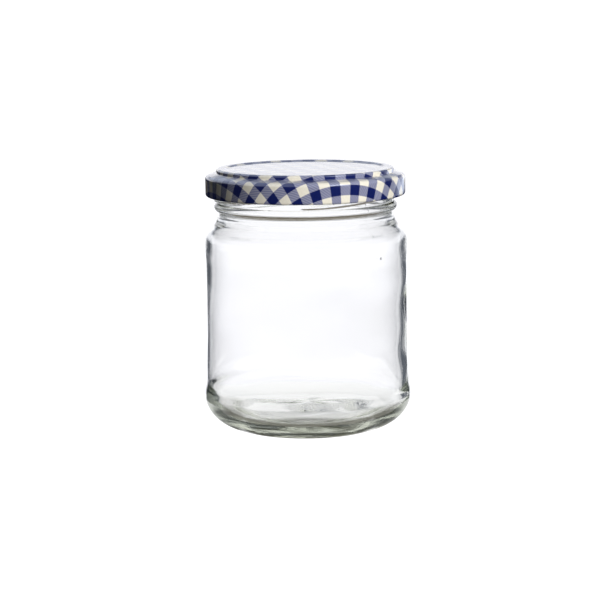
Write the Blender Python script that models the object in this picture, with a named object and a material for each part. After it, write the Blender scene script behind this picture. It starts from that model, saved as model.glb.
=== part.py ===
"""A wide-mouthed glass jar with its twist-off tinplate lid on, in metres, +Z up.

The origin is the centre of the base. The jar, the lid and the sealing ring in the lid are turned
about Z. The jar's neck carries four thread ridges, and the lid's rolled edge carries four lugs.
"""

import bpy
from math import cos, hypot, pi, radians, sin

MM = 0.001
SEGMENTS = 56
CONTACT_GAP = 0.3 * MM

# Base: a narrow flat ring to stand on, a shallow hollow inside it and a deep rounded heel.
BEARING_INNER_RADIUS = 17.5 * MM
BEARING_OUTER_RADIUS = 19.8 * MM
PUNT_HEIGHT = 1.1 * MM
PUNT_LIP_WIDTH = 3.0 * MM
PUNT_LIP_HEIGHT = 0.5 * MM
HEEL_RADIUS = 34.35 * MM
HEEL_HEIGHT = 10.6 * MM
HEEL_BAND = 1.3 * MM

# Body: a label panel a little slimmer than the heel and shoulder bands that guard it.
PANEL_FOOT_RADIUS = 33.8 * MM
PANEL_FOOT_Z = 15.5 * MM
PANEL_WAIST_RADIUS = 33.45 * MM
PANEL_WAIST_Z = 41.0 * MM
PANEL_TOP_RADIUS = 33.55 * MM
PANEL_TOP_Z = 56.5 * MM
SHOULDER_RADIUS = 33.75 * MM
SHOULDER_BAND_Z = 59.5 * MM
SHOULDER_Z = 62.0 * MM
SHOULDER_CENTRE_RADIUS = 30.0 * MM
SHOULDER_RISE = 5.6 * MM
SHOULDER_END_ANGLE = 64.0

# Neck: its foot, the groove where the moulds part, the bead above it, the threaded wall and the rim.
NECK_FOOT_RADIUS = 29.65 * MM
NECK_FOOT_Z = 69.6 * MM
FILLET_RADIUS = 29.85 * MM
GROOVE_RADIUS = 28.75 * MM
GROOVE_Z = 71.6 * MM
GROOVE_HALF_HEIGHT = 0.6 * MM
FOOT_TOP_RADIUS = 29.35 * MM
BEAD_RADIUS = 30.3 * MM
BEAD_Z = 74.05 * MM
BEAD_HALF_HEIGHT = 1.45 * MM
FINISH_RADIUS = 28.9 * MM
RIM_ROUNDING = 0.9 * MM

# Inside of the jar.
BORE_RADIUS = 26.7 * MM
BORE_FOOT_Z = 71.5 * MM
SHOULDER_WALL = 1.95 * MM
INNER_WAIST_RADIUS = 31.85 * MM
INNER_FOOT_RADIUS = 32.2 * MM
INNER_CORNER_Z = 11.5 * MM
FLOOR_RADIUS = 25.0 * MM
FLOOR_Z = 5.0 * MM
FLOOR_RISE = 0.3 * MM

# Thread: each ridge starts level and low at its left end, then climbs to the right.
THREAD_STARTS = 4
THREAD_FIRST_ANGLE = -93.0
THREAD_LENGTH_ANGLE = 128.0
THREAD_START_Z = 75.7 * MM
THREAD_LEAD = 13.3 * MM
THREAD_LEVEL_ANGLE = 20.0
THREAD_THICKNESS = 1.4 * MM
THREAD_RADIUS = 30.4 * MM
THREAD_SINK = 0.25 * MM
THREAD_ROOT_DEPTH = 0.7 * MM
THREAD_ROOT_SPREAD = 0.2 * MM
THREAD_FADE_ANGLE = 11.0
THREAD_STATIONS = 15

# Lid: recessed centre panel, raised ring, sloped ledge, straight skirt and an edge rolled inwards.
TINPLATE = 0.3 * MM
LID_TOP_Z = 86.7 * MM
LID_PANEL_DROP = 0.4 * MM
LID_PANEL_RADIUS = 25.4 * MM
RING_INNER_RADIUS = 26.5 * MM
RING_OUTER_RADIUS = 29.3 * MM
RING_ROUNDING = 0.7 * MM
LEDGE_INNER_RADIUS = 29.65 * MM
LEDGE_INNER_Z = 85.25 * MM
LEDGE_OUTER_Z = 84.7 * MM
LEDGE_OUTER_RADIUS = 31.7 * MM
SKIRT_RADIUS = 33.0 * MM
SKIRT_TOP_Z = 83.25 * MM
CURL_RADIUS = 0.8 * MM
LID_BOTTOM_Z = 77.65 * MM
CURL_TAIL = 0.4 * MM

# Lugs: four small folded tabs of the rolled edge that reach in under the thread ridges.
LUG_FIRST_ANGLE = 11.0
LUG_WIDTH_ANGLE = 12.0
LUG_TIP_RADIUS = 29.8 * MM
LUG_ROOT_RADIUS = 31.52 * MM
LUG_BOTTOM_Z = 78.0 * MM
LUG_TOP_Z = 78.55 * MM
LUG_ROUNDING = 0.15 * MM
LUG_STATIONS = 4

# Sealing ring: soft compound in the channel under the lid's raised ring, above the jar's rim.
SEAL_INNER_RADIUS = 26.9 * MM
SEAL_THICKNESS = 1.05 * MM
SEAL_ROUNDING = 0.35 * MM


def clear_scene():
    for found in list(bpy.data.objects):
        bpy.data.objects.remove(found, do_unlink=True)


def material(name, colour, roughness, metallic=0.0, transmission=0.0, ior=1.5):
    made = bpy.data.materials.new(name)
    made.use_nodes = True
    shader = made.node_tree.nodes["Principled BSDF"]
    shader.inputs["Base Color"].default_value = (*colour, 1.0)
    shader.inputs["Roughness"].default_value = roughness
    shader.inputs["Metallic"].default_value = metallic
    shader.inputs["Transmission Weight"].default_value = transmission
    shader.inputs["IOR"].default_value = ior
    return made


def arc(centre, across, up, start, end, steps):
    """Points on an elliptical arc in the (radius, height) plane, ends included, degrees from +radius."""
    angles = [radians(start + (end - start) * i / steps) for i in range(steps + 1)]
    return [(centre[0] + across * cos(a), centre[1] + up * sin(a)) for a in angles]


def ease(low, high, steps):
    """Points from low to high, ends left out, whose radius follows half a cosine wave over the height."""
    points = []
    for i in range(1, steps):
        t = i / steps
        swing = (1 - cos(pi * t)) / 2
        points.append((low[0] + (high[0] - low[0]) * swing, low[1] + (high[1] - low[1]) * t))
    return points


def bend(start, corner, end, steps):
    """Points on the quadratic curve from start to end, ends included, that is drawn towards the corner."""
    points = []
    for i in range(steps + 1):
        t = i / steps
        near, pull, far = (1 - t) ** 2, 2 * t * (1 - t), t**2
        points.append(tuple(near * start[k] + pull * corner[k] + far * end[k] for k in (0, 1)))
    return points


def sloped(point, slope, radius):
    """The point at that radius on the straight line through point whose height grows by slope."""
    return (radius, point[1] + slope * (radius - point[0]))


def turned(name, profile, finish):
    """A solid turned about Z from a profile that runs down the outer side and up the inner one.

    The profile starts and ends on the axis, or it is a ring's outline that ends where it starts."""
    mesh = bpy.data.meshes.new(name)
    edges = [(i, i + 1) for i in range(len(profile) - 1)]
    mesh.from_pydata([(radius, 0.0, height) for radius, height in profile], edges, [])
    made = bpy.data.objects.new(name, mesh)
    bpy.context.collection.objects.link(made)
    mesh.materials.append(finish)
    screw = made.modifiers.new("turn", "SCREW")
    screw.axis = "Z"
    screw.angle = 2 * pi
    screw.steps = SEGMENTS
    screw.render_steps = SEGMENTS
    screw.use_merge_vertices = True
    screw.merge_threshold = 0.00001
    screw.use_smooth_shade = True
    return made


def swept(name, stations):
    """A closed bar through a list of cross-sections, each a list of points that runs the same way round."""
    count = len(stations[0])
    points = [point for section in stations for point in section]
    last = (len(stations) - 1) * count
    faces = [tuple(range(count)), tuple(last + i for i in reversed(range(count)))]
    for step in range(len(stations) - 1):
        here = step * count
        for i in range(count):
            after = (i + 1) % count
            faces.append((here + after, here + i, here + count + i, here + count + after))
    mesh = bpy.data.meshes.new(name)
    mesh.from_pydata(points, [], faces)
    made = bpy.data.objects.new(name, mesh)
    bpy.context.collection.objects.link(made)
    made.hide_render = True
    made.display_type = "WIRE"
    return made


def ring_section(angle, outline):
    """An outline in the (radius, height) plane, stood up at an angle about Z in degrees."""
    turn = radians(angle)
    return [(radius * cos(turn), radius * sin(turn), height) for radius, height in outline]


def join(body, additions):
    """Unites the additions with the body, one by one."""
    for addition in additions:
        union = body.modifiers.new(addition.name, "BOOLEAN")
        union.operation = "UNION"
        union.solver = "EXACT"
        union.object = addition


def shoulder_slope():
    """How steeply the height grows with the radius where the shoulder meets the neck's fillet."""
    end = radians(SHOULDER_END_ANGLE)
    return -SHOULDER_RISE * cos(end) / ((SHOULDER_RADIUS - SHOULDER_CENTRE_RADIUS) * sin(end))


def shoulder_arc(wall, steps):
    """The round of the shoulder from the neck down, set in by the thickness of the wall."""
    across = SHOULDER_RADIUS - SHOULDER_CENTRE_RADIUS
    points = []
    for i in range(steps + 1):
        turn = radians(SHOULDER_END_ANGLE * (1 - i / steps))
        out, up = cos(turn) / across, sin(turn) / SHOULDER_RISE
        size = hypot(out, up)
        radius = SHOULDER_CENTRE_RADIUS + across * cos(turn) - wall * out / size
        points.append((radius, SHOULDER_Z + SHOULDER_RISE * sin(turn) - wall * up / size))
    return points


def jar_inside():
    """The cavity from the middle of its floor, out and up the wall, to the top of the bore."""
    floor_edge = (FLOOR_RADIUS, FLOOR_Z)
    middle_z = FLOOR_Z + FLOOR_RISE
    floor = bend((0.0, middle_z), (FLOOR_RADIUS / 2, middle_z), floor_edge, 2)[:-1]
    corner_centre = (FLOOR_RADIUS, INNER_CORNER_Z)
    corner = arc(corner_centre, INNER_FOOT_RADIUS - FLOOR_RADIUS, INNER_CORNER_Z - FLOOR_Z, -90, 0, 7)
    foot = corner[-1]
    waist = (INNER_WAIST_RADIUS, PANEL_WAIST_Z)
    shoulder = shoulder_arc(SHOULDER_WALL, 4)[::-1]
    wall = ease(foot, waist, 2) + [waist]
    flare_end = (BORE_RADIUS, BORE_FOOT_Z)
    flare = bend(shoulder[-1], sloped(shoulder[-1], shoulder_slope(), BORE_RADIUS), flare_end, 4)
    return floor + corner + wall + shoulder + flare[1:]


def rim_height():
    """The top of the glass, which the sealing ring meets under the lid's raised ring."""
    return LID_TOP_Z - TINPLATE - 2 * CONTACT_GAP - SEAL_THICKNESS


def jar_rim():
    """From the bore over the rim to the threaded wall, rounded at both edges."""
    height = rim_height() - RIM_ROUNDING
    inner = arc((BORE_RADIUS + RIM_ROUNDING, height), RIM_ROUNDING, RIM_ROUNDING, 180, 90, 3)
    outer = arc((FINISH_RADIUS - RIM_ROUNDING, height), RIM_ROUNDING, RIM_ROUNDING, 90, 0, 3)
    return inner + outer


def jar_neck():
    """The bead and the parting groove under it, down to the foot of the neck."""
    bead = arc((FINISH_RADIUS, BEAD_Z), BEAD_RADIUS - FINISH_RADIUS, BEAD_HALF_HEIGHT, 90, -90, 7)
    groove = [
        (GROOVE_RADIUS, GROOVE_Z + GROOVE_HALF_HEIGHT / 2),
        (GROOVE_RADIUS, GROOVE_Z - GROOVE_HALF_HEIGHT / 2),
    ]
    return bead + groove + [(FOOT_TOP_RADIUS, GROOVE_Z - GROOVE_HALF_HEIGHT)]


def jar_body():
    """The fillet and the shoulder, the label panel between two bands, and the heel to the flat ring."""
    shoulder = shoulder_arc(0.0, 5)
    corner = sloped(shoulder[0], shoulder_slope(), FILLET_RADIUS)
    fillet = bend((NECK_FOOT_RADIUS, NECK_FOOT_Z), corner, shoulder[0], 3)[:-1]
    band = (SHOULDER_RADIUS, SHOULDER_BAND_Z)
    top = (PANEL_TOP_RADIUS, PANEL_TOP_Z)
    waist = (PANEL_WAIST_RADIUS, PANEL_WAIST_Z)
    foot = (PANEL_FOOT_RADIUS, PANEL_FOOT_Z)
    heel_top = (HEEL_RADIUS, HEEL_HEIGHT + HEEL_BAND)
    panel = [band, top, waist] + ease(waist, foot, 2) + [foot]
    panel += ease(foot, heel_top, 2) + [heel_top]
    heel_centre = (BEARING_OUTER_RADIUS, HEEL_HEIGHT)
    heel = arc(heel_centre, HEEL_RADIUS - BEARING_OUTER_RADIUS, HEEL_HEIGHT, 0, -90, 11)
    return fillet + shoulder + panel + heel


def jar_base():
    """From the flat ring up over a small lip into the shallow hollow, to the middle."""
    lip_radius = BEARING_INNER_RADIUS - PUNT_LIP_WIDTH
    lip_middle = (BEARING_INNER_RADIUS - PUNT_LIP_WIDTH / 2, 0.0)
    lip = bend((BEARING_INNER_RADIUS, 0.0), lip_middle, (lip_radius, PUNT_LIP_HEIGHT), 2)
    hollow = bend((lip_radius, PUNT_LIP_HEIGHT), (lip_radius / 2, PUNT_HEIGHT), (0.0, PUNT_HEIGHT), 2)
    return lip + hollow[1:]


def thread_height(turned_by):
    """The underside of a ridge, turned_by degrees from its left end: level at first, then a steady climb."""
    climb = THREAD_LEAD / 360.0
    if turned_by < THREAD_LEVEL_ANGLE:
        return THREAD_START_Z + climb * turned_by**2 / (2 * THREAD_LEVEL_ANGLE)
    return THREAD_START_Z + climb * (turned_by - THREAD_LEVEL_ANGLE / 2)


def thread_ridge(name, first_angle):
    """One thread ridge, rooted in the neck's wall and fading into it at both ends."""
    root = FINISH_RADIUS - THREAD_ROOT_DEPTH
    sunk = FINISH_RADIUS - THREAD_SINK
    stations = []
    for i in range(THREAD_STATIONS):
        along = THREAD_LENGTH_ANGLE * i / (THREAD_STATIONS - 1)
        to_end = min(along, THREAD_LENGTH_ANGLE - along)
        fade = sin(pi / 2 * min(1.0, to_end / THREAD_FADE_ANGLE))
        crest = sunk + (THREAD_RADIUS - sunk) * fade
        low = thread_height(along)
        high = low + THREAD_THICKNESS
        third = THREAD_THICKNESS / 3
        outline = [
            (root, low - THREAD_ROOT_SPREAD),
            (sunk + (crest - sunk) * 3 / 4, low),
            (crest, low + third),
            (crest, high - third),
            (sunk + (crest - sunk) / 2, high),
            (root, high + THREAD_ROOT_SPREAD),
        ]
        stations.append(ring_section(first_angle + along, outline))
    return swept(name, stations)


def build_jar():
    glass = material("clear_glass", (0.93, 0.96, 0.94), 0.03, transmission=1.0, ior=1.52)
    profile = jar_inside() + jar_rim() + jar_neck() + jar_body() + jar_base()
    jar = turned("jar_glass", profile, glass)
    ridges = []
    for start in range(THREAD_STARTS):
        angle = THREAD_FIRST_ANGLE + start * 360 / THREAD_STARTS
        ridges.append(thread_ridge(f"thread_ridge_{start + 1}", angle))
    join(jar, ridges)


def lid_skin(inset):
    """The lid's metal from the middle of the panel to the top of its skirt, inset below the outer face."""
    panel_z = LID_TOP_Z - LID_PANEL_DROP - inset
    top_z = LID_TOP_Z - inset
    rounding = RING_ROUNDING - inset
    points = [
        (0.0, panel_z),
        (LID_PANEL_RADIUS + inset / 2, panel_z),
        (RING_INNER_RADIUS + inset / 2, top_z),
    ]
    ring_centre = (RING_OUTER_RADIUS - RING_ROUNDING, LID_TOP_Z - RING_ROUNDING)
    points += arc(ring_centre, rounding, rounding, 90, 0, 2)
    points.append((RING_OUTER_RADIUS - inset, LEDGE_INNER_Z - inset / 2))
    points.append((LEDGE_INNER_RADIUS - inset / 2, LEDGE_INNER_Z - inset))
    corner_centre = (LEDGE_OUTER_RADIUS, SKIRT_TOP_Z)
    across = SKIRT_RADIUS - LEDGE_OUTER_RADIUS - inset
    points += arc(corner_centre, across, LEDGE_OUTER_Z - SKIRT_TOP_Z - inset, 90, 0, 4)
    return points


def build_lid():
    """The drawn shell, its edge rolled inwards, and the four lugs."""
    print_on_tinplate = material("printed_tinplate", (0.42, 0.44, 0.55), 0.3, metallic=0.15)
    curl_centre = (SKIRT_RADIUS - CURL_RADIUS, LID_BOTTOM_Z + CURL_RADIUS)
    inside = CURL_RADIUS - TINPLATE
    curl_out = arc(curl_centre, CURL_RADIUS, CURL_RADIUS, 0, -180, 6)
    curl_back = arc(curl_centre, inside, inside, -180, 0, 4)
    tail_z = curl_centre[1] + CURL_TAIL
    tail = [(curl_out[-1][0], tail_z), (curl_back[0][0], tail_z)]
    profile = lid_skin(0.0) + curl_out + tail + curl_back + lid_skin(TINPLATE)[::-1]
    lid = turned("lid", profile, print_on_tinplate)
    outline = [
        (LUG_ROOT_RADIUS, LUG_BOTTOM_Z),
        (LUG_TIP_RADIUS + LUG_ROUNDING, LUG_BOTTOM_Z),
        (LUG_TIP_RADIUS, LUG_BOTTOM_Z + LUG_ROUNDING),
        (LUG_TIP_RADIUS, LUG_TOP_Z - LUG_ROUNDING),
        (LUG_TIP_RADIUS + LUG_ROUNDING, LUG_TOP_Z),
        (LUG_ROOT_RADIUS, LUG_TOP_Z),
    ]
    lugs = []
    for start in range(THREAD_STARTS):
        first = LUG_FIRST_ANGLE + start * 360 / THREAD_STARTS
        angles = [first + LUG_WIDTH_ANGLE * i / (LUG_STATIONS - 1) for i in range(LUG_STATIONS)]
        lugs.append(swept(f"lug_{start + 1}", [ring_section(angle, outline[::-1]) for angle in angles]))
    join(lid, lugs)


def build_sealing_ring():
    """The ring of sealing compound, clear of the lid's channel and of the jar's rim."""
    compound = material("sealing_compound", (0.82, 0.81, 0.77), 0.55)
    inner = SEAL_INNER_RADIUS
    outer = RING_OUTER_RADIUS - TINPLATE - CONTACT_GAP
    top = LID_TOP_Z - TINPLATE - CONTACT_GAP
    bottom = top - SEAL_THICKNESS
    turn = SEAL_ROUNDING
    profile = arc((inner + turn, top - turn), turn, turn, 180, 90, 1)
    profile += arc((outer - turn, top - turn), turn, turn, 90, 0, 1)
    profile += [(outer, bottom), (inner, bottom)]
    turned("sealing_ring", profile + profile[:1], compound)


def shade():
    for made in bpy.data.objects:
        made.data.shade_smooth()
        made.data.set_sharp_from_angle(angle=radians(35))


clear_scene()
build_jar()
build_lid()
build_sealing_ring()
shade()
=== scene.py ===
"""An empty glass jar with a twist-off lid, dressed for one studio picture.

Lengths are in metres, and named sizes are written as millimetres times MM. Z is up, the jar's axis
is the Z axis, the base stands on z = 0 and the camera looks along +Y. Angles about Z are in degrees
from +X, so the side that faces the camera is at FRONT. A pair whose name ends in FADE says where a
change begins and where it is complete.
"""

from math import radians

import bpy
import numpy as np
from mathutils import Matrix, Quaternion, Vector


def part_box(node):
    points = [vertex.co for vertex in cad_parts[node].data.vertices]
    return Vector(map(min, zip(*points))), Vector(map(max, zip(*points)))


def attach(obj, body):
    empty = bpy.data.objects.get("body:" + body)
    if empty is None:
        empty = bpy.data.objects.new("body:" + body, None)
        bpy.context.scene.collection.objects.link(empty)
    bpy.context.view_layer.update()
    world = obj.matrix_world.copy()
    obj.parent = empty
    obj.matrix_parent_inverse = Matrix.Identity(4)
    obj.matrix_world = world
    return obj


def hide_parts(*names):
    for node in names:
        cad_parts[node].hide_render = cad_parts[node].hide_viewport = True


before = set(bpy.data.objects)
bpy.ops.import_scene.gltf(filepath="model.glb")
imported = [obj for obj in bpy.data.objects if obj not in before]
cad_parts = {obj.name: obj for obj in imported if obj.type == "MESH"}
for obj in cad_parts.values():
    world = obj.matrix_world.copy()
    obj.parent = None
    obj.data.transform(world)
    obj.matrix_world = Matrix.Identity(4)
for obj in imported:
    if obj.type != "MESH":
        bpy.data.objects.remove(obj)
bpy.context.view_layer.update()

MM = 0.001
FRONT = -90.0

# Outside of the jar: base, heel, label panel, shoulder and neck.
BEARING_INNER_RADIUS = 17.5 * MM
BEARING_OUTER_RADIUS = 19.8 * MM
PUNT_HEIGHT = 1.1 * MM
PUNT_LIP_WIDTH = 3.0 * MM
PUNT_LIP_HEIGHT = 0.5 * MM
HEEL_RADIUS = 34.35 * MM
HEEL_HEIGHT = 10.6 * MM
HEEL_BAND = 1.3 * MM
PANEL_FOOT = (33.8 * MM, 15.5 * MM)
PANEL_WAIST = (33.45 * MM, 41.0 * MM)
PANEL_TOP = (33.55 * MM, 56.5 * MM)
SHOULDER_BAND = (33.75 * MM, 59.5 * MM)
SHOULDER_CENTRE = (30.0 * MM, 62.0 * MM)
SHOULDER_RISE = 5.6 * MM
SHOULDER_END_ANGLE = 64.0
NECK_FOOT = (29.65 * MM, 69.6 * MM)
FILLET_RADIUS = 29.85 * MM
GROOVE_RADIUS = 28.75 * MM
GROOVE_Z = 71.6 * MM
GROOVE_HALF_HEIGHT = 0.6 * MM
FOOT_TOP_RADIUS = 29.35 * MM
BEAD_RADIUS = 30.3 * MM
BEAD_Z = 74.05 * MM
BEAD_HALF_HEIGHT = 1.45 * MM
FINISH_RADIUS = 28.9 * MM
RIM_ROUNDING = 0.9 * MM
RIM_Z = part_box("jar_glass")[1][2]

# Inside of the jar.
BORE_RADIUS = 26.7 * MM
BORE_FOOT_Z = 71.5 * MM
SHOULDER_WALL = 1.95 * MM
INNER_WAIST_RADIUS = 31.85 * MM
INNER_FOOT_RADIUS = 32.2 * MM
INNER_CORNER_Z = 11.5 * MM
FLOOR_RADIUS = 25.0 * MM
FLOOR_Z = 5.0 * MM
FLOOR_RISE = 0.3 * MM

# Thread ridges on the neck. The flanks are shares of a ridge's thickness, up from its underside.
THREAD_STARTS = 4
THREAD_FIRST_ANGLE = -93.0
THREAD_LENGTH_ANGLE = 128.0
THREAD_START_Z = 75.7 * MM
THREAD_LEAD = 13.3 * MM
THREAD_LEVEL_ANGLE = 20.0
THREAD_THICKNESS = 1.4 * MM
THREAD_HEIGHT = 1.45 * MM
THREAD_LOWER_FLANK = (-0.12, 0.28)
THREAD_UPPER_FLANK = (0.55, 1.15)
THREAD_END_ANGLE = 11.0

# Seams where the halves of the mould met: plain on the neck and faint on the body. Their width is
# measured at SEAM_WIDTH_RADIUS.
SEAM_ANGLES = (-48.0, 132.0)
SEAM_HEIGHT = 0.05 * MM
SEAM_WIDTH = 0.16 * MM
SEAM_WIDTH_RADIUS = 33.0 * MM
SEAM_FOOT_Z = 3.0 * MM
SEAM_NECK_Z = 66.0 * MM
SEAM_TOP_Z = 84.0 * MM
SEAM_REACH = 34.0 * MM
SEAM_BODY_SHARE = 0.08

# Unevenness of the blown inside. The cavity leans to the left over the lower part of the wall, the
# whole wall swells slowly, and the floor is uneven between its middle and its edge. A swell is a sum
# of SWELL_WAVES waves, each with up to SWELL_MOST_ROUND crests round the jar and a length within
# SWELL_LENGTHS.
LEAN = 0.5 * MM
LEAN_EVEN_PART = 0.1 * MM
LEAN_FOOT_FADE = (9 * MM, 15 * MM)
LEAN_TOP_FADE = (33 * MM, 50 * MM)
WALL_SWELL = 0.16 * MM
WALL_SWELL_SEED = 7
WALL_SWELL_FOOT_FADE = (7 * MM, 14 * MM)
WALL_SWELL_TOP_FADE = (60 * MM, 66 * MM)
FLOOR_SWELL = 0.8 * MM
FLOOR_SWELL_SEED = 4
FLOOR_SWELL_MIDDLE_FADE = (0, 6 * MM)
FLOOR_SWELL_EDGE_FADE = (20 * MM, 27 * MM)
FLOOR_SWELL_TOP_Z = 12 * MM
SWELL_WAVES = 5
SWELL_MOST_ROUND = 5
SWELL_LENGTHS = (9 * MM, 34 * MM)

# Marks on and in the glass: the fine stipple low on the heel, and one small bubble, which glass
# makers call a seed.
STIPPLE_FADE = (2.25 * MM, 4.5 * MM)
STIPPLE_PITCH = 1.0 * MM
STIPPLE_DEPTH = 0.05 * MM
SEED_PLACE = (23.9 * MM, -23.5 * MM, 59.2 * MM)
SEED_RADIUS = 0.5 * MM
SEED_DEPTH = 0.8 * MM

# Lid.
TINPLATE = 0.3 * MM
LID_TOP_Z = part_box("lid")[1][2]
LID_PANEL_DROP = 0.4 * MM
LID_PANEL_RADIUS = 25.4 * MM
RING_INNER_RADIUS = 26.5 * MM
RING_OUTER_RADIUS = 29.3 * MM
RING_ROUNDING = 0.7 * MM
LEDGE_INNER_RADIUS = 29.65 * MM
LEDGE_INNER_Z = 85.25 * MM
LEDGE_OUTER_Z = 84.7 * MM
LEDGE_OUTER_RADIUS = 31.7 * MM
SKIRT_RADIUS = 33.0 * MM
SKIRT_TOP_Z = 83.25 * MM
CURL_RADIUS = 0.8 * MM
LID_BOTTOM_Z = 77.65 * MM
CURL_TAIL = 0.4 * MM

# Lugs: the rolled edge is pushed in over these angles, from its inner side out to LUG_ROOT_FADE.
# Nothing inside LUG_ROOM_RADIUS or above LUG_ROOM_Z moves.
LUG_FIRST_ANGLE = 11.0
LUG_WIDTH_ANGLE = 12.0
LUG_SIDE_IN_ANGLE = 1.6
LUG_SIDE_OUT_ANGLE = 1.0
LUG_REACH = 1.6 * MM
LUG_Z = 78.28 * MM
LUG_THICKNESS = 0.55 * MM
LUG_ROOT_FADE = (31.4 * MM, 32.3 * MM)
LUG_ROOM_RADIUS = 30.0 * MM
LUG_ROOM_Z = 79.0 * MM

# Sealing ring: the gap to the channel's inner wall, and how square its section is, where 1 is an
# ellipse and less is squarer.
SEAL_GAP = 0.5 * MM
SEAL_SQUARENESS = 0.5

# Gingham print, measured on the flat sheet before the lid was drawn from it. The stripes' widths lie
# along and across PRINT_ANGLE, and the shifts are in stripes. The real print has finer hatching: this
# is as coarse as it needs to be to show. WAVE_NODE_FACTOR is what the Wave Texture node multiplies
# its coordinate by.
STRIPE_ALONG = 3.34 * MM
STRIPE_ACROSS = 3.65 * MM
STRIPE_SOFTNESS = 0.03
PRINT_ANGLE = FRONT + 22.6
PRINT_SHIFT_ALONG = 1.84
PRINT_SHIFT_ACROSS = 0.007
PRINT_GRAIN = 0.625 * MM
PRINT_MARGIN = 1.5 * MM
HATCH_PITCH = 0.7407 * MM
HATCH_ANGLE = 45.0
WAVE_NODE_FACTOR = 20.0

# Other finishes. The tint and the density of the glass say what a long way through it takes out.
GLASS_TINT = "#C5CBB3"
GLASS_DENSITY = 18.0
LACQUER_CLOUD = 5.56 * MM
# The lacquer's glow is painted light, standing for the light that the glass throws up into the lid.
LACQUER_PAINTED_LIGHT = 0.35
FOAM_PORE = 0.556 * MM
FOAM_RELIEF = 0.05 * MM

# Fineness of the meshes: how wide the rounding of corners is, the widest step between rows, the bend
# in degrees that asks for a row, and the number of columns round the axis. The glass has finer rows
# on the thread and closer columns at the seams. A profile is walked in steps of PROFILE_GRAIN, and
# columns are laid out on ANGLE_STEPS steps a degree.
PROFILE_GRAIN = 0.03 * MM
GLASS_SOFTNESS = 0.22 * MM
GLASS_ROW = 2.4 * MM
GLASS_ROW_BEND = 10
GLASS_COLUMNS = 320
THREAD_ROW = 0.2 * MM
THREAD_ROWS_DEPTH = 1.4 * MM
THREAD_ROWS_FOOT_Z = 75.2 * MM
SEAM_COLUMNS_WIDTH = 0.8
SEAM_COLUMNS_EXTRA = 5
LID_SOFTNESS = 0.07 * MM
LID_ROW = 1.6 * MM
LID_ROW_BEND = 9
LID_COLUMNS = 300
SEAL_ROWS = 40
SEAL_COLUMNS = 180
TABLE_COLUMNS = 96
ANGLE_STEPS = 40

# The room as the glass shows it. The panel behind the table ends at PANEL_FADE and the side walls
# begin at WALL_FADE, both in degrees off +Y. The other ranges are coordinates of the unit vector that
# points there: GAP_LIGHT_FADE is its X, and the rest are its Z. GAP_LIGHT is the light of the gaps at
# the far left and right of the middle. The tints go past 1 where they are brighter than white.
PANEL_LIGHT = 1.15
PANEL_FADE = (19.5, 21.0)
WALL_LIGHT = 0.85
WALL_FADE = (38.0, 75.0)
WALL_FOOT_FADE = (-0.2, -0.08)
UPPER_WALL_FADE = (-0.03, 0.02)
CEILING_FADE = (0.16, 0.3)
CEILING_LIGHT = 0.08
CEILING_LIGHT_FADE = (0.1, 0.3)
GAP_LIGHT = (0.07, 0.12)
GAP_LIGHT_FADE = (-1.0, 0.2)
PANEL_TINT = (1.0, 1.0, 1.04, 1.0)
GAP_TINT = (0.9, 1.0, 1.2, 1.0)

# The room as gloss on the lid shows it: a broader panel whose lower left is cut off on a slant, a
# dimmer ceiling that is brightest on the left, and one bright spot. The panel's range is the unit
# vector's Y, the slant's is its X plus GLOSS_SLANT times its Z, the left's is its X, and the bright
# spot's is the cosine of the angle to HIGHLIGHT_WAY.
GLOSS_PANEL_LIGHT = 1.2
GLOSS_PANEL_FADE = (0.45, 0.75)
GLOSS_SLANT = 6.0
GLOSS_SLANT_FADE = (-0.5, -0.1)
GLOSS_CEILING_LIGHT = 0.5
GLOSS_LEFT_SHARE = 2.2
GLOSS_LEFT_FADE = (-0.5, 0.1)
HIGHLIGHT = 5.0
HIGHLIGHT_WAY = (FRONT + 42, 27)
HIGHLIGHT_FADE = (0.97, 0.985)

# Light on matt surfaces: an even fill and two soft boxes, each with its power and its direction as
# degrees about Z and degrees up.
FILL_LIGHT = 0.02
KEY_POWER = 18.0
KEY_WAY = (FRONT + 36, 20)
BACK_POWER = 12.0
BACK_WAY = (FRONT + 200, 4)
SOFT_BOX_SIZE = (600 * MM, 300 * MM)
SOFT_BOX_DISTANCE = 1200 * MM

# Light table. Its shade shows only in the glass and on the gloss. It is faint under the jar, and full
# in front of the jar and at the sides of its near half.
TABLE_RADIUS = 60 * MM
TABLE_TOP_Z = -0.1 * MM
TABLE_UNDERSIDE_Z = -4.0 * MM
TABLE_LIGHT = 1.1
TABLE_LIGHT_THROUGH_GLASS = 1.02
SHADE_UNDER = 0.1
SHADE_UNDER_FADE = (15 * MM, 20 * MM)
SHADE_FRONT_FADE = (-20 * MM, -15 * MM)
SHADE_SIDE_FADE = (21 * MM, 25 * MM)
SHADE_NEAR_FADE = (-15 * MM, 15 * MM)
SHADE_TINT = "#5F5D50"

# Camera.
CAMERA_DISTANCE = 690 * MM
CAMERA_HEIGHT = 152 * MM
AIM = (-2.25 * MM, 0.0, 42.3 * MM)
LENS = 125.8
SENSOR_WIDTH = 36.0
CAMERA_ROLL = -0.76

# Light is followed this many times through glass and off gloss, as total reflection in thick clear
# glass turns black with fewer.
BOUNCES = 64

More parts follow.
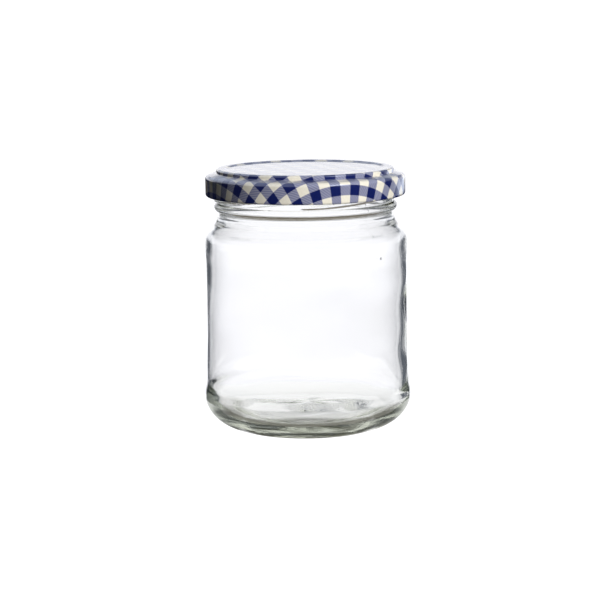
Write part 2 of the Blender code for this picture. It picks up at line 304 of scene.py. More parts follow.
# The nodes that the materials and the world are made of, with their settings.
NODE_KINDS = {
    "absolute": ("ShaderNodeMath", {"operation": "ABSOLUTE"}),
    "absorption": ("ShaderNodeVolumeAbsorption", {}),
    "angle": ("ShaderNodeMath", {"operation": "ARCTAN2"}),
    "background": ("ShaderNodeBackground", {}),
    "bump": ("ShaderNodeBump", {}),
    "colour_mix": ("ShaderNodeMix", {"data_type": "RGBA"}),
    "coordinates": ("ShaderNodeTexCoord", {}),
    "cosine": ("ShaderNodeVectorMath", {"operation": "DOT_PRODUCT"}),
    "distance": ("ShaderNodeVectorMath", {"operation": "DISTANCE"}),
    "fade": ("ShaderNodeMapRange", {"interpolation_type": "SMOOTHSTEP"}),
    "greater": ("ShaderNodeMath", {"operation": "MAXIMUM"}),
    "length": ("ShaderNodeVectorMath", {"operation": "LENGTH"}),
    "light_path": ("ShaderNodeLightPath", {}),
    "minus": ("ShaderNodeMath", {"operation": "SUBTRACT"}),
    "mix": ("ShaderNodeMix", {"data_type": "FLOAT"}),
    "noise": ("ShaderNodeTexNoise", {}),
    "parts": ("ShaderNodeSeparateXYZ", {}),
    "plus": ("ShaderNodeMath", {"operation": "ADD"}),
    "sheet": ("ShaderNodeUVMap", {"uv_map": "sheet"}),
    "there_and_back": ("ShaderNodeMath", {"operation": "PINGPONG"}),
    "times": ("ShaderNodeMath", {"operation": "MULTIPLY"}),
    "times_plus": ("ShaderNodeMath", {"operation": "MULTIPLY_ADD"}),
    "turned": ("ShaderNodeVectorRotate", {"rotation_type": "Z_AXIS"}),
    "vector_times": ("ShaderNodeVectorMath", {"operation": "MULTIPLY"}),
    "waves": ("ShaderNodeTexWave", {"wave_type": "BANDS", "bands_direction": "X"}),
    "world_output": ("ShaderNodeOutputWorld", {}),
}


def arc(centre, across, up, start, end, steps=24):
    """Points of an ellipse about centre in the (radius, height) plane, from start to end degrees."""
    angle = np.radians(np.linspace(start, end, steps + 1))
    return np.column_stack((centre[0] + across * np.cos(angle), centre[1] + up * np.sin(angle)))


def sway(low, high, steps=16):
    """Points from low to high: the height grows evenly and the radius follows half a cosine wave."""
    t = np.linspace(0, 1, steps + 1)
    swing = (1 - np.cos(np.pi * t)) / 2
    return np.column_stack((low[0] + (high[0] - low[0]) * swing, low[1] + (high[1] - low[1]) * t))


def bend(start, corner, end, steps=16):
    """Points of the quadratic curve from start to end that is drawn towards the corner between them."""
    t = np.linspace(0, 1, steps + 1)[:, None]
    start, corner, end = map(np.array, (start, corner, end))
    return (1 - t) ** 2 * start + 2 * t * (1 - t) * corner + t ** 2 * end


def sloped(point, slope, radius):
    """The point at that radius on the straight line through point whose height grows by slope."""
    return radius, point[1] + slope * (radius - point[0])


def step(low, high, value):
    """0 below low, 1 above high, and the smooth curve 3t^2 - 2t^3 between them."""
    t = np.clip((value - low) / (high - low), 0, 1)
    return t * t * (3 - 2 * t)


def bell(value, width):
    """The bell curve that is 1 at 0 and falls to 0.61 at width."""
    return np.exp(-0.5 * (value / width) ** 2)


def turned_from(angle, mark, whole=360):
    """How far an angle lies from the mark, between minus and plus half of the whole."""
    return (angle - mark + whole / 2) % whole - whole / 2


def soften(path, softness, widest, turn, fine=None):
    """A profile with its corners rounded, as rows that lie closer where it bends.

    The path is walked in even small steps, and each point becomes the mean of its neighbours under
    a bell curve softness wide. The number of rows per metre is then 1/widest, plus one for every
    turn degrees that the path bends there, plus what fine(radius, height) asks for."""
    path = np.vstack(path)
    length = np.append(0, np.cumsum(np.hypot(*np.diff(path, axis=0).T)))
    even = np.linspace(0, length[-1], int(length[-1] / PROFILE_GRAIN))
    line = np.column_stack([np.interp(even, length, path[:, k]) for k in (0, 1)])
    reach = int(4 * softness / PROFILE_GRAIN)
    weight = bell(np.arange(-reach, reach + 1) * PROFILE_GRAIN, softness)
    weight /= weight.sum()
    head = 2 * line[0] - line[reach:0:-1]
    tail = 2 * line[-1] - line[-2:-reach - 2:-1]
    longer = np.vstack((head, line, tail))
    line = np.column_stack([np.convolve(longer[:, k], weight, "valid") for k in (0, 1)])
    along = np.gradient(line, axis=0)
    gap = np.hypot(*along.T)
    heading = np.unwrap(np.arctan2(along[:, 1], along[:, 0]))
    rows = gap / widest + np.abs(np.gradient(heading)) / radians(turn)
    if fine is not None:
        rows += gap * fine(line[:, 0], line[:, 1])
    total = np.cumsum(rows)
    wanted = np.linspace(total[0], total[-1], int(total[-1]))
    picked = np.interp(wanted, total, np.arange(len(line)))
    return np.column_stack([np.interp(picked, np.arange(len(line)), line[:, k]) for k in (0, 1)])


def angles(count, marks=(), width=1.0, extra=0.0):
    """Angles all round, closer together near the marks by a bell curve of that width."""
    fine = np.linspace(-180, 180, 360 * ANGLE_STEPS + 1)
    density = np.ones_like(fine)
    for mark in marks:
        density += extra * bell(turned_from(fine, mark), width)
    total = np.cumsum(density)
    return np.interp(np.linspace(total[0], total[-1], count + 1)[:-1], total, fine)


def with_poles(grid):
    """The rows of an open profile's grid as one list, where the first and last are one point each."""
    return np.vstack((grid[1:-1].reshape(-1, grid.shape[-1]), grid[0, :1], grid[-1, :1]))


def lathe(name, radius, height, turn, closed=False):
    """A mesh from radius and height, arrays of rows by angles, carried round Z.

    An open profile starts and ends on the axis, and its first and last rows become one point each.
    Faces point out where the profile runs down the outer side."""
    radius, height, around = np.broadcast_arrays(radius, height, np.radians(turn))
    points = np.stack((radius * np.cos(around), radius * np.sin(around), height), axis=-1)
    rows = len(points) if closed else len(points) - 2
    index = np.arange(rows * len(turn)).reshape(rows, len(turn))
    after = np.roll(index, -1, axis=1)
    if closed:
        below, below_after = np.roll(index, -1, axis=0), np.roll(after, -1, axis=0)
        faces = np.stack((index, below, below_after, after), axis=-1).reshape(-1, 4).tolist()
        vertices = points.reshape(-1, 3)
    else:
        vertices = with_poles(points)
        quads = np.stack((index[:-1], index[1:], after[1:], after[:-1]), axis=-1).reshape(-1, 4)
        start = np.full(len(turn), index.size)
        first = np.stack((start, index[0], after[0]), axis=-1)
        last = np.stack((index[-1], start + 1, after[-1]), axis=-1)
        faces = quads.tolist() + first.tolist() + last.tolist()
    mesh = bpy.data.meshes.new(name)
    mesh.from_pydata(vertices.tolist(), [], faces)
    mesh.shade_smooth()
    return placed(name, mesh)


def placed(name, data):
    """A new object with this data, in the scene's collection."""
    made = bpy.data.objects.new(name, data)
    bpy.context.collection.objects.link(made)
    return made


def linear(hex_colour):
    """A hex colour as linear red, green, blue and alpha."""
    value = np.array([int(hex_colour[k:k + 2], 16) for k in (1, 3, 5)]) / 255
    value = np.where(value <= 0.04045, value / 12.92, ((value + 0.055) / 1.055) ** 2.4)
    return (*value.tolist(), 1.0)


def fill(tree, node, **values):
    """Gives each named input its value. A name has underscores where the input's has spaces."""
    for key, value in values.items():
        connect(tree, node.inputs[key.replace("_", " ")], value)


def connect(tree, socket, value):
    """Gives an input a number or a colour, or links it to a socket or a node's first output in use."""
    if isinstance(value, bpy.types.Node):
        value = next(output for output in value.outputs if output.enabled)
    if isinstance(value, bpy.types.NodeSocket):
        tree.links.new(value, socket)
    else:
        socket.default_value = value


def add(tree, kind, *in_order, **by_name):
    """Adds a node of one of the NODE_KINDS and fills its inputs in use, in their order or by name."""
    type_name, settings = NODE_KINDS[kind]
    node = tree.nodes.new(type_name)
    for key, value in settings.items():
        setattr(node, key, value)
    in_use = [socket for socket in node.inputs if socket.enabled]
    for socket, value in zip(in_use, in_order):
        connect(tree, socket, value)
    fill(tree, node, **by_name)
    return node


def new_material(name):
    """A material with its node tree and its Principled shader."""
    made = bpy.data.materials.new(name)
    made.use_nodes = True
    return made, made.node_tree, made.node_tree.nodes["Principled BSDF"]


def shoulder_arc(wall=0.0):
    """The round of the shoulder from the neck down, or the curve that runs parallel to it inside the
    wall, and its slope where it meets the neck."""
    across = SHOULDER_BAND[0] - SHOULDER_CENTRE[0]
    round_part = arc(SHOULDER_CENTRE, across, SHOULDER_RISE, SHOULDER_END_ANGLE, 0)
    turn = np.radians(np.linspace(SHOULDER_END_ANGLE, 0, len(round_part)))
    outwards = np.column_stack((np.cos(turn) / across, np.sin(turn) / SHOULDER_RISE))
    outwards /= np.hypot(*outwards.T)[:, None]
    slope = -SHOULDER_RISE / (across * np.tan(radians(SHOULDER_END_ANGLE)))
    return round_part - wall * outwards, slope


def inside_profile():
    """The cavity: a nearly flat floor, an elliptical corner, the wall, the shoulder parallel to the
    outer one, and a flare that runs out into the bore."""
    middle = FLOOR_Z + FLOOR_RISE
    floor = bend((0.0, middle), (FLOOR_RADIUS / 2, middle), (FLOOR_RADIUS, FLOOR_Z))
    corner = arc((FLOOR_RADIUS, INNER_CORNER_Z), INNER_FOOT_RADIUS - FLOOR_RADIUS,
                 INNER_CORNER_Z - FLOOR_Z, -90, 0)
    waist = (INNER_WAIST_RADIUS, PANEL_WAIST[1])
    shoulder, slope = shoulder_arc(SHOULDER_WALL)
    shoulder = shoulder[::-1]
    wall = [sway(corner[-1], waist), sway(waist, shoulder[0])]
    flare = bend(shoulder[-1], sloped(shoulder[-1], slope, BORE_RADIUS), (BORE_RADIUS, BORE_FOOT_Z))
    return [floor, corner, *wall, shoulder, flare]


def rim_profile():
    """The rim: a quarter circle up from the bore and a quarter circle down to the neck's wall."""
    height = RIM_Z - RIM_ROUNDING
    inner = arc((BORE_RADIUS + RIM_ROUNDING, height), RIM_ROUNDING, RIM_ROUNDING, 180, 90)
    outer = arc((FINISH_RADIUS - RIM_ROUNDING, height), RIM_ROUNDING, RIM_ROUNDING, 90, 0)
    return [inner, outer]


def neck_profile():
    """The neck's wall down to its foot: half an ellipse for the bead, and a flat groove below it."""
    bead = arc((FINISH_RADIUS, BEAD_Z), BEAD_RADIUS - FINISH_RADIUS, BEAD_HALF_HEIGHT, 90, -90)
    groove = [
        (GROOVE_RADIUS, GROOVE_Z + GROOVE_HALF_HEIGHT / 2),
        (GROOVE_RADIUS, GROOVE_Z - GROOVE_HALF_HEIGHT / 2),
        (FOOT_TOP_RADIUS, GROOVE_Z - GROOVE_HALF_HEIGHT),
    ]
    return [bead, groove]


def body_profile():
    """The outside below the neck: a hollow curve into the shoulder's ellipse, half cosine waves down
    the label panel to the heel, and a quarter of an ellipse under it."""
    shoulder, slope = shoulder_arc()
    fillet = bend(NECK_FOOT, sloped(shoulder[0], slope, FILLET_RADIUS), shoulder[0])
    heel_top = (HEEL_RADIUS, HEEL_HEIGHT + HEEL_BAND)
    panel = [sway(SHOULDER_BAND, PANEL_TOP), sway(PANEL_TOP, PANEL_WAIST),
             sway(PANEL_WAIST, PANEL_FOOT), sway(PANEL_FOOT, heel_top)]
    heel = arc((BEARING_OUTER_RADIUS, HEEL_HEIGHT), HEEL_RADIUS - BEARING_OUTER_RADIUS,
               HEEL_HEIGHT, 0, -90)
    return [fillet, shoulder, *panel, heel]


def base_profile():
    """The underside: from the flat ring a gentle lip curves up, and then a shallow hollow."""
    lip_end = (BEARING_INNER_RADIUS - PUNT_LIP_WIDTH, PUNT_LIP_HEIGHT)
    lip = bend((BEARING_INNER_RADIUS, 0.0), (BEARING_INNER_RADIUS - PUNT_LIP_WIDTH / 2, 0.0), lip_end)
    return [lip, bend(lip_end, (lip_end[0] / 2, PUNT_HEIGHT), (0.0, PUNT_HEIGHT))]


def thread_relief(height, turn):
    """How far the four ridges stand out of the neck's wall, for rows of height by columns of angle.

    A ridge's underside is level over its first degrees and then climbs evenly. Across the ridge the
    relief rises steeply from the underside, is flat on its crest and eases down above it. At both
    ends it follows a quarter of a sine wave."""
    relief = np.zeros((len(height), len(turn)))
    climb = THREAD_LEAD / 360
    for start in range(THREAD_STARTS):
        along = (turn - THREAD_FIRST_ANGLE - start * 360 / THREAD_STARTS) % 360
        level = np.minimum(along, THREAD_LEVEL_ANGLE)
        low = THREAD_START_Z + climb * (level ** 2 / (2 * THREAD_LEVEL_ANGLE) + along - level)
        to_end = np.minimum(along, THREAD_LENGTH_ANGLE - along)
        fade = np.sin(np.pi / 2 * np.clip(to_end / THREAD_END_ANGLE, 0, 1))
        over = (height[:, None] - low[None, :]) / THREAD_THICKNESS
        shape = step(*THREAD_LOWER_FLANK, over) * (1 - step(*THREAD_UPPER_FLANK, over))
        relief = np.maximum(relief, THREAD_HEIGHT * fade * shape)
    return relief


def seam_relief(rows, turn):
    """How far the two seams stand out: a bell curve across each, at full height on the neck, a small
    share of it on the body, and nothing on the heel's widest band or under the base."""
    radius, height = rows.T
    strength = np.where(height > SEAM_NECK_Z, 1.0, SEAM_BODY_SHARE)
    strength *= (height > SEAM_FOOT_Z) & (height < SEAM_TOP_Z) & (radius < SEAM_REACH)
    relief = np.zeros((len(rows), len(turn)))
    for mark in SEAM_ANGLES:
        ridge = bell(np.radians(turned_from(turn, mark)) * SEAM_WIDTH_RADIUS, SEAM_WIDTH)
        relief += SEAM_HEIGHT * strength[:, None] * ridge[None, :]
    return relief


def swell(place, turn, seed, size):
    """A slow random swell of the given size: a sum of waves, each with its own count round the jar
    and its own length along place."""
    draw = np.random.default_rng(seed)
    total = np.zeros((len(place), len(turn)))
    for _ in range(SWELL_WAVES):
        count = draw.integers(1, SWELL_MOST_ROUND + 1)
        length = draw.uniform(*SWELL_LENGTHS)
        phase = draw.uniform(0, 2 * np.pi, 2)
        along = np.cos(2 * np.pi * place / length + phase[0])
        total += along[:, None] * np.cos(count * np.radians(turn) + phase[1])[None, :]
    return size * total / SWELL_WAVES


def blown_inside(rows, turn):
    """How far the cavity's surface moves out and up, for rows by angles.

    Outwards it leans by a cosine of the angle, which leaves the wall thin on the left and thick on
    the right, and it swells. Upwards only the floor swells."""
    radius, height = rows.T
    leaning = step(*LEAN_FOOT_FADE, height) * (1 - step(*LEAN_TOP_FADE, height))
    lean = leaning[:, None] * (LEAN_EVEN_PART - LEAN * np.cos(np.radians(turn)))[None, :]
    on_wall = step(*WALL_SWELL_FOOT_FADE, height) * (1 - step(*WALL_SWELL_TOP_FADE, height))
    outwards = lean + on_wall[:, None] * swell(height, turn, WALL_SWELL_SEED, WALL_SWELL)
    on_floor = step(*FLOOR_SWELL_MIDDLE_FADE, radius) * (1 - step(*FLOOR_SWELL_EDGE_FADE, radius))
    on_floor *= height < FLOOR_SWELL_TOP_Z
    upwards = on_floor[:, None] * swell(radius, turn, FLOOR_SWELL_SEED, FLOOR_SWELL)
    return outwards, upwards


def build_jar():
    """The glass: one turned skin over the cavity, the rim, the outside and the base. The unevenness
    is added to the rows before the top of the rim, and the thread and the seams to those after it."""
    profile = inside_profile() + rim_profile() + neck_profile() + body_profile() + base_profile()

    def thread_rows(radius, height):
        on_thread = (radius > FINISH_RADIUS - THREAD_ROWS_DEPTH) & (height > THREAD_ROWS_FOOT_Z)
        return on_thread / THREAD_ROW

    rows = soften(profile, GLASS_SOFTNESS, GLASS_ROW, GLASS_ROW_BEND, thread_rows)
    turn = angles(GLASS_COLUMNS, SEAM_ANGLES, SEAM_COLUMNS_WIDTH, SEAM_COLUMNS_EXTRA)
    inside = (np.arange(len(rows)) < rows[:, 1].argmax())[:, None]
    outwards, upwards = blown_inside(rows, turn)
    relief = thread_relief(rows[:, 1], turn) + seam_relief(rows, turn)
    radius = rows[:, :1] + np.where(inside, outwards, relief)
    height = rows[:, 1:] + np.where(inside, upwards, 0)
    jar = lathe("jar", radius, height, turn)
    jar.data.materials.append(soda_lime_glass())
    return jar


def lid_face(inset):
    """The lid's metal from the middle of the panel to the top of its skirt, inset below the face."""
    panel_z = LID_TOP_Z - LID_PANEL_DROP - inset
    rounding = RING_ROUNDING - inset
    panel = [(0.0, panel_z), (LID_PANEL_RADIUS + inset / 2, panel_z),
             (RING_INNER_RADIUS + inset / 2, LID_TOP_Z - inset)]
    ring = arc((RING_OUTER_RADIUS - RING_ROUNDING, LID_TOP_Z - RING_ROUNDING), rounding, rounding, 90, 0)
    ledge = [(RING_OUTER_RADIUS - inset, LEDGE_INNER_Z - inset / 2),
             (LEDGE_INNER_RADIUS - inset / 2, LEDGE_INNER_Z - inset)]
    corner = arc((LEDGE_OUTER_RADIUS, SKIRT_TOP_Z), SKIRT_RADIUS - LEDGE_OUTER_RADIUS - inset,
                 LEDGE_OUTER_Z - SKIRT_TOP_Z - inset, 90, 0)
    return [panel, ring, ledge, corner]


def lid_profile():
    """The shell's section: out over its face, down the skirt, half a circle inwards for the rolled
    edge with a short tail, and back inside the metal to the middle."""
    centre = (SKIRT_RADIUS - CURL_RADIUS, LID_BOTTOM_Z + CURL_RADIUS)
    hollow = CURL_RADIUS - TINPLATE
    roll = arc(centre, CURL_RADIUS, CURL_RADIUS, 0, -180)
    back = arc(centre, hollow, hollow, -180, 0)
    tail_z = centre[1] + CURL_TAIL
    tail = [(roll[-1][0], tail_z), (back[0][0], tail_z)]
    inner_face = [np.array(part)[::-1] for part in lid_face(TINPLATE)[::-1]]
    return lid_face(0.0) + [roll, tail, back] + inner_face


def lug_share(rows, turn):
    """1 where the rolled edge is pushed in as a lug and 0 elsewhere, with a smooth change at each
    lug's sides and root."""
    radius, height = rows.T
    half = LUG_WIDTH_ANGLE / 2
    off = np.abs(turned_from(turn, LUG_FIRST_ANGLE + half, 360 / THREAD_STARTS))
    beside = step(half - LUG_SIDE_IN_ANGLE, half + LUG_SIDE_OUT_ANGLE, off)
    on_edge = 1 - step(*LUG_ROOT_FADE, radius)
    on_edge *= (height < LUG_ROOM_Z) & (radius > LUG_ROOM_RADIUS)
    return on_edge[:, None] * (1 - beside)[None, :]


def map_sheet(mesh, length, turn):
    """Gives a turned mesh its place on the flat sheet as a UV map in millimetres: each vertex lies
    its length along the profile away from the middle, at its angle from PRINT_ANGLE. Returns how far
    from the middle each face begins, in metres."""
    around = np.radians(turn - PRINT_ANGLE)
    sheet = with_poles(length[:, None, None] * np.stack((np.cos(around), np.sin(around)), axis=-1))
    vertex = np.empty(len(mesh.loops), dtype=np.int32)
    mesh.loops.foreach_get("vertex_index", vertex)
    layer = mesh.uv_layers.new(name="sheet")
    layer.data.foreach_set("uv", (sheet[vertex] / MM).astype(np.float32).ravel())
    first_corner = np.empty(len(mesh.polygons), dtype=np.int32)
    mesh.polygons.foreach_get("loop_start", first_corner)
    return np.hypot(*sheet[vertex[first_corner]].T)


def build_lid():
    """The drawn shell: printed outside, lacquered inside, with its rolled edge flattened about LUG_Z
    and pushed inwards at the lugs. The print ends a little way round the rolled edge."""
    rows = soften(lid_profile(), LID_SOFTNESS, LID_ROW, LID_ROW_BEND)
    turn = angles(LID_COLUMNS)
    push = lug_share(rows, turn)
    flattened = LUG_Z + (rows[:, 1:] - LUG_Z) * LUG_THICKNESS / (2 * CURL_RADIUS)
    radius = rows[:, :1] - LUG_REACH * push
    height = rows[:, 1:] + (flattened - rows[:, 1:]) * push
    lid = lathe("lid_shell", radius, height, turn)
    length = np.append(0, np.cumsum(np.hypot(*np.diff(rows, axis=0).T)))
    place = map_sheet(lid.data, length, turn)
    print_end = length[rows[:, 1].argmin()] + PRINT_MARGIN
    lid.data.materials.append(gingham_print())
    lid.data.materials.append(gold_lacquer())
    lid.data.polygons.foreach_set("material_index", (place > print_end).astype(np.int32))
    return lid


def build_sealing_ring():
    """The ring of sealing compound in the lid's channel: an ellipse squared up by raising its sine
    and its cosine to the power of SEAL_SQUARENESS."""
    low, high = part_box("sealing_ring")
    inner = RING_INNER_RADIUS + TINPLATE + SEAL_GAP
    angle = np.radians(np.linspace(90, -270, SEAL_ROWS + 1)[:-1])
    round_part = np.stack((np.cos(angle), np.sin(angle)))
    across, up = np.sign(round_part) * np.abs(round_part) ** SEAL_SQUARENESS
    radius = ((high[0] + inner) / 2 + (high[0] - inner) / 2 * across)[:, None]
    height = ((high[2] + low[2]) / 2 + (high[2] - low[2]) / 2 * up)[:, None]
    ring = lathe("sealing_compound_ring", radius, height, angles(SEAL_COLUMNS), closed=True)
    ring.data.materials.append(sealing_compound())
    return ring


def soda_lime_glass():
    """Pressed and blown flint container glass: clear and smooth, nearly colourless where it is thin
    and olive where the light's way is long. The stipple breaks up what the heel shows, and the
    bubble is a speck."""
    made, tree, shader = new_material("soda_lime_glass")
    place = add(tree, "coordinates").outputs["Object"]
    height = add(tree, "parts", place).outputs["Z"]
    depth = add(tree, "fade", height, *STIPPLE_FADE, STIPPLE_DEPTH, 0.0)
    grains = add(tree, "noise", Vector=place, Scale=1 / STIPPLE_PITCH, Detail=1.0)
    stipple = add(tree, "times", grains, depth)
    from_seed = add(tree, "distance", place, SEED_PLACE)
    seed = add(tree, "fade", from_seed, 0.0, SEED_RADIUS, SEED_DEPTH, 0.0)
    relief = add(tree, "bump", Strength=1.0, Distance=1.0, Height=add(tree, "plus", stipple, seed))
    fill(tree, shader, Base_Color=linear("#FFFFFF"), Roughness=0.0, IOR=1.52, Normal=relief)
    fill(tree, shader, Transmission_Weight=1.0)
    volume = add(tree, "absorption", Color=linear(GLASS_TINT), Density=GLASS_DENSITY)
    fill(tree, tree.nodes["Material Output"], Volume=volume)
    return made


def stripe(tree, coordinate, width, shift):
    """1 on every second stripe of that width, moved on by shift stripes, and 0 between them."""
    place = add(tree, "times_plus", coordinate, MM / width, -shift)
    wave = add(tree, "there_and_back", place, 1.0)
    return add(tree, "fade", wave, 0.5 - STRIPE_SOFTNESS, 0.5 + STRIPE_SOFTNESS)


def gingham_print():
    """Offset-printed, varnished tinplate: flat inks under a clear gloss coat, dark blue where two
    stripes cross, hatched grey where one runs alone, and cream between."""
    made, tree, shader = new_material("varnished_tinplate_print")
    sheet = add(tree, "sheet")
    place = add(tree, "parts", sheet)
    along = stripe(tree, place.outputs["X"], STRIPE_ALONG, PRINT_SHIFT_ALONG)
    across = stripe(tree, place.outputs["Y"], STRIPE_ACROSS, PRINT_SHIFT_ACROSS)
    slanted = add(tree, "turned", Vector=sheet, Angle=radians(HATCH_ANGLE))
    hatch_scale = MM / HATCH_PITCH * 2 * np.pi / WAVE_NODE_FACTOR
    lines = add(tree, "waves", Vector=slanted, Scale=hatch_scale, Distortion=0.6, Detail=1.0)
    grains = add(tree, "noise", Vector=sheet, Scale=MM / PRINT_GRAIN, Detail=3.0)
    hatch = add(tree, "colour_mix", lines.outputs["Fac"], linear("#6F7190"), linear("#9496A8"))
    cream = add(tree, "colour_mix", grains, linear("#F2ECDD"), linear("#DCD6C4"))
    navy = add(tree, "colour_mix", grains, linear("#0B1548"), linear("#141E58"))
    between = add(tree, "colour_mix", along, cream, hatch)
    on_stripe = add(tree, "colour_mix", along, hatch, navy)
    inks = add(tree, "colour_mix", across, between, on_stripe)
    fill(tree, shader, Base_Color=inks, Roughness=0.35)
    fill(tree, shader, Coat_Weight=1.0, Coat_Roughness=0.06, Coat_IOR=1.6)
    return made


def gold_lacquer():
    """Stoved gold lacquer on the inside of the lid: brown-yellow, a little glossy and faintly cloudy.
    Its glow is painted light, which stands for the light that the glass throws up into the lid."""
    made, tree, shader = new_material("gold_lacquer")
    place = add(tree, "coordinates").outputs["Object"]
    cloud = add(tree, "noise", Vector=place, Scale=1 / LACQUER_CLOUD, Detail=3.0)
    tone = add(tree, "colour_mix", cloud, linear("#7F7560"), linear("#9C9078"))
    fill(tree, shader, Base_Color=tone, Roughness=0.35)
    # Painted light: the lacquer glows in its own tone in place of the light the glass throws up into it.
    fill(tree, shader, Emission_Color=tone, Emission_Strength=LACQUER_PAINTED_LIGHT)
    return made


def sealing_compound():
    """Foamed sealing compound: off-white, matt, with the fine pores of the foam."""
    made, tree, shader = new_material("sealing_compound")
    place = add(tree, "coordinates").outputs["Object"]
    pores = add(tree, "noise", Vector=place, Scale=1 / FOAM_PORE, Detail=2.0)
    tone = add(tree, "colour_mix", pores, linear("#CFCBBB"), linear("#E4E0D2"))
    relief = add(tree, "bump", Strength=0.4, Distance=FOAM_RELIEF, Height=pores)
    fill(tree, shader, Base_Color=tone, Roughness=0.6, Normal=relief)
    return made


def light_table():
    """Backlit opal glass: evenly white to the camera, with no shadow on it. What the glass and the
    gloss show of it is shaded by the greatest of three shades: a faint one under the jar, one in
    front of it, and one at the sides of its near half."""
    made, tree, shader = new_material("light_table")
    place = add(tree, "coordinates").outputs["Object"]
    sideways, away, _ = add(tree, "parts", place).outputs
    to_camera = add(tree, "light_path").outputs["Is Camera Ray"]
    from_middle = add(tree, "length", add(tree, "vector_times", place, (1, 1, 0)))
    under = add(tree, "fade", from_middle, *SHADE_UNDER_FADE, SHADE_UNDER, 0.0)
    front = add(tree, "fade", away, *SHADE_FRONT_FADE, 1.0, 0.0)
    side = add(tree, "fade", add(tree, "absolute", sideways), *SHADE_SIDE_FADE, 0.0, 1.0)
    near = add(tree, "fade", away, *SHADE_NEAR_FADE, 1.0, 0.0)
    shade = add(tree, "greater", under, add(tree, "greater", add(tree, "times", side, near), front))
    shade = add(tree, "times", shade, add(tree, "minus", 1.0, to_camera))
    glow = add(tree, "colour_mix", shade, linear("#FFFFFF"), linear(SHADE_TINT))
    strength = add(tree, "mix", to_camera, TABLE_LIGHT_THROUGH_GLASS, TABLE_LIGHT)
    fill(tree, shader, Base_Color=linear("#595959"), Roughness=0.6)
    fill(tree, shader, Emission_Color=glow, Emission_Strength=strength)
    return made


def build_floor():
    """The table: a flat disc under the jar, a little larger than the picture shows. It throws no
    light on matt surfaces, so the lid isn't lit from below."""
    section = np.array([(0.0, TABLE_TOP_Z), (TABLE_RADIUS, TABLE_TOP_Z),
                        (TABLE_RADIUS, TABLE_UNDERSIDE_Z), (0.0, TABLE_UNDERSIDE_Z)])
    floor = lathe("floor", section[:, :1], section[:, 1:], angles(TABLE_COLUMNS))
    floor.data.materials.append(light_table())
    floor.visible_diffuse = False


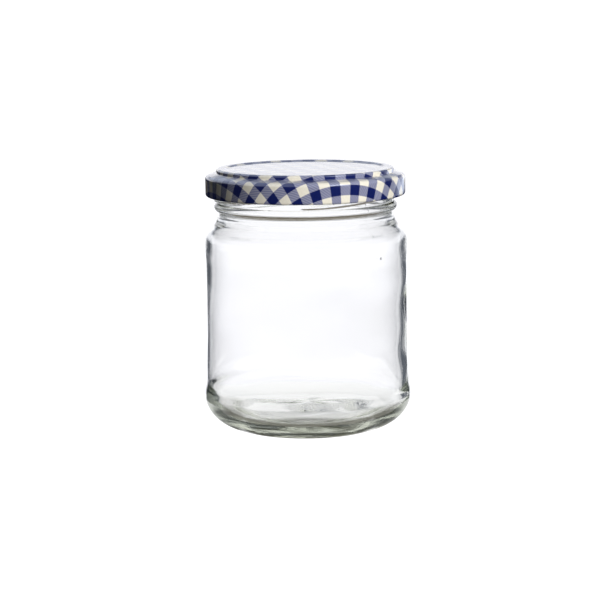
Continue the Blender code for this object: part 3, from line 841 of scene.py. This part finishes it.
def build_world():
    """The room, as light by direction. Through the glass there is a white panel behind the table,
    pale walls at the sides and in front, dark gaps between them and a dark ceiling. Gloss on the lid
    has a room of its own, and matt surfaces meet an even fill."""
    world = bpy.data.worlds.new("studio")
    bpy.context.scene.world = world
    world.use_nodes = True
    tree = world.node_tree
    tree.nodes.clear()
    way = add(tree, "coordinates").outputs["Generated"]
    sideways, away, height = add(tree, "parts", way).outputs
    off = add(tree, "absolute", add(tree, "angle", sideways, away))
    below_ceiling = add(tree, "fade", height, *CEILING_FADE, 1.0, 0.0)

    # Through the glass.
    panel = add(tree, "fade", off, *map(radians, PANEL_FADE), PANEL_LIGHT, 0.0)
    walls = add(tree, "fade", off, *map(radians, WALL_FADE), 0.0, WALL_LIGHT)
    walls = add(tree, "times", walls, add(tree, "fade", height, *WALL_FOOT_FADE, 0.0, 1.0))
    upper_walls = add(tree, "fade", height, *UPPER_WALL_FADE, 0.0, WALL_LIGHT)
    lit = add(tree, "greater", add(tree, "greater", panel, walls), upper_walls)
    lit = add(tree, "times", lit, below_ceiling)
    gap = add(tree, "fade", sideways, *GAP_LIGHT_FADE, *GAP_LIGHT)
    ceiling = add(tree, "fade", height, *CEILING_LIGHT_FADE, 0.0, CEILING_LIGHT)
    through_glass = add(tree, "greater", lit, add(tree, "greater", gap, ceiling))

    # On the gloss.
    broad = add(tree, "fade", away, *GLOSS_PANEL_FADE, 0.0, GLOSS_PANEL_LIGHT)
    slant = add(tree, "times_plus", height, GLOSS_SLANT, sideways)
    broad = add(tree, "times", broad, add(tree, "fade", slant, *GLOSS_SLANT_FADE, 0.0, 1.0))
    broad = add(tree, "times", broad, below_ceiling)
    gloss_ceiling = add(tree, "fade", height, *CEILING_FADE, 0.0, GLOSS_CEILING_LIGHT)
    left_share = add(tree, "fade", sideways, *GLOSS_LEFT_FADE, GLOSS_LEFT_SHARE, 1.0)
    gloss_ceiling = add(tree, "times", gloss_ceiling, left_share)
    nearness = add(tree, "cosine", way, towards(*HIGHLIGHT_WAY))
    highlight = add(tree, "fade", nearness, *HIGHLIGHT_FADE, 0.0, HIGHLIGHT)
    on_gloss = add(tree, "greater", add(tree, "greater", broad, gloss_ceiling), highlight)

    # The glass counts as singular and the lid's gloss doesn't, which tells the two apart.
    light = add(tree, "light_path").outputs
    is_gloss = add(tree, "minus", light["Is Glossy Ray"], light["Is Singular Ray"])
    seen = add(tree, "mix", is_gloss, through_glass, on_gloss)
    seen = add(tree, "mix", light["Is Diffuse Ray"], seen, FILL_LIGHT)
    tint = add(tree, "colour_mix", lit, GAP_TINT, PANEL_TINT)
    add(tree, "world_output", Surface=add(tree, "background", Color=tint, Strength=seen))


def towards(azimuth, elevation):
    """The unit vector at these degrees about Z from +X and above the table."""
    turn, rise = radians(azimuth), radians(elevation)
    return Vector((np.cos(turn) * np.cos(rise), np.sin(turn) * np.cos(rise), np.sin(rise)))


def build_soft_box(name, way, power):
    """A broad soft box that lights matt surfaces only: the glass and the gloss meet the room instead."""
    data = bpy.data.lights.new(name, "AREA")
    data.shape = "RECTANGLE"
    data.size, data.size_y = SOFT_BOX_SIZE
    data.energy = power
    box = placed(name, data)
    place = towards(*way)
    box.location = place * SOFT_BOX_DISTANCE
    box.rotation_mode = "QUATERNION"
    box.rotation_quaternion = place.to_track_quat("Z", "Y")
    box.visible_glossy = False
    box.visible_transmission = False


def build_camera():
    """The camera, in front of the jar and above it, aimed at AIM and rolled a little."""
    data = bpy.data.cameras.new("camera")
    data.lens = LENS
    data.sensor_width = SENSOR_WIDTH
    camera = placed("camera", data)
    camera.location = (0, -CAMERA_DISTANCE, CAMERA_HEIGHT)
    look = Vector(AIM) - camera.location
    camera.rotation_mode = "QUATERNION"
    roll = Quaternion((0, 0, 1), radians(CAMERA_ROLL))
    camera.rotation_quaternion = look.to_track_quat("-Z", "Y") @ roll
    bpy.context.scene.camera = camera


for build, node, slot in (
    (build_jar, "jar_glass", "clear_glass"),
    (build_lid, "lid", "printed_tinplate"),
    (build_sealing_ring, "sealing_ring", "sealing_compound"),
):
    piece = build()
    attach(piece, "root")
    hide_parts(node)

build_floor()
build_world()
build_soft_box("key", KEY_WAY, KEY_POWER)
build_soft_box("back", BACK_WAY, BACK_POWER)
build_camera()
scene = bpy.context.scene
scene.view_settings.view_transform = "Standard"
scene.cycles.max_bounces = BOUNCES
scene.cycles.transmission_bounces = BOUNCES
scene.cycles.glossy_bounces = BOUNCES
